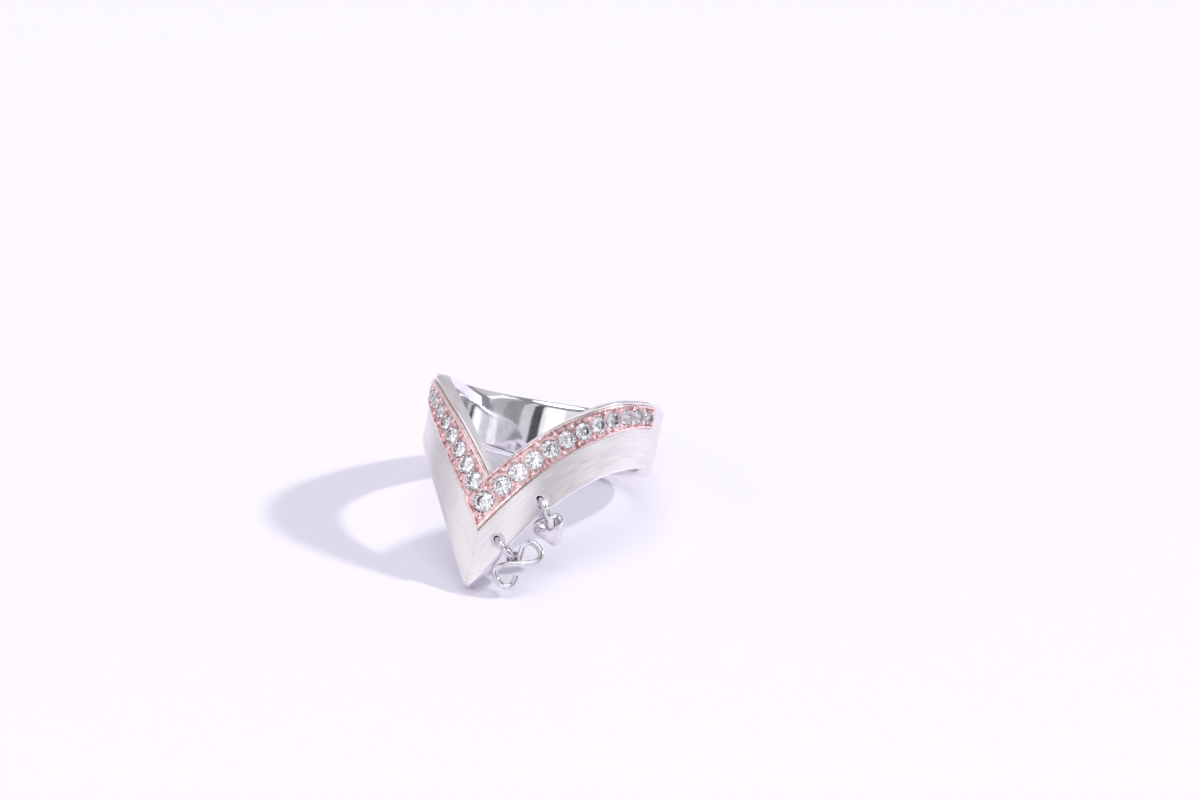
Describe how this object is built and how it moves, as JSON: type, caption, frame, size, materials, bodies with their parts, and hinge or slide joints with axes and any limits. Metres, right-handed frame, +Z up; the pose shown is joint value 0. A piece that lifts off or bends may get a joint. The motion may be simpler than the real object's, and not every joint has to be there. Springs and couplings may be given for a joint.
{
  "type": "chevron ring",
  "caption": "Finger ring lying on its side, its front drawn down into a deep V with a raised stone-set strip and small hanging charms.",
  "frame": {"origin": "middle of the bounding box on the table, so +Z starts where the ring rests", "axes": "+Z up from the table; +Y from the point of the V towards the back of the band; +X across the ring, towards the arm that carries the charms"},
  "size_m": [0.0202, 0.0273, 0.0126],
  "materials": {
    "silver_brushed": "sterling silver, satin brushed along the arms outside, polished inside and on the edges",
    "rose_gold": "rose gold, bright cut with beaded grains",
    "stones": "clear colourless brilliants",
    "silver_polished": "polished silver"
  },
  "bodies": {
    "root": {"band": "silver_brushed", "pave_strip": "rose_gold", "stone_01": "stones", "stone_02": "stones", "stone_03": "stones", "stone_04": "stones", "stone_05": "stones", "stone_06": "stones", "stone_07": "stones", "stone_08": "stones", "stone_09": "stones", "stone_10": "stones", "stone_11": "stones", "stone_12": "stones", "stone_13": "stones", "stone_14": "stones", "stone_15": "stones", "stone_16": "stones", "stone_17": "stones", "stone_18": "stones", "stone_19": "stones", "stone_20": "stones", "stone_21": "stones", "stone_22": "stones", "stone_23": "stones", "jump_ring_infinity": "silver_polished", "infinity_charm": "silver_polished", "jump_ring_heart": "silver_polished", "heart_charm": "silver_polished"}
  },
  "joints": []
}
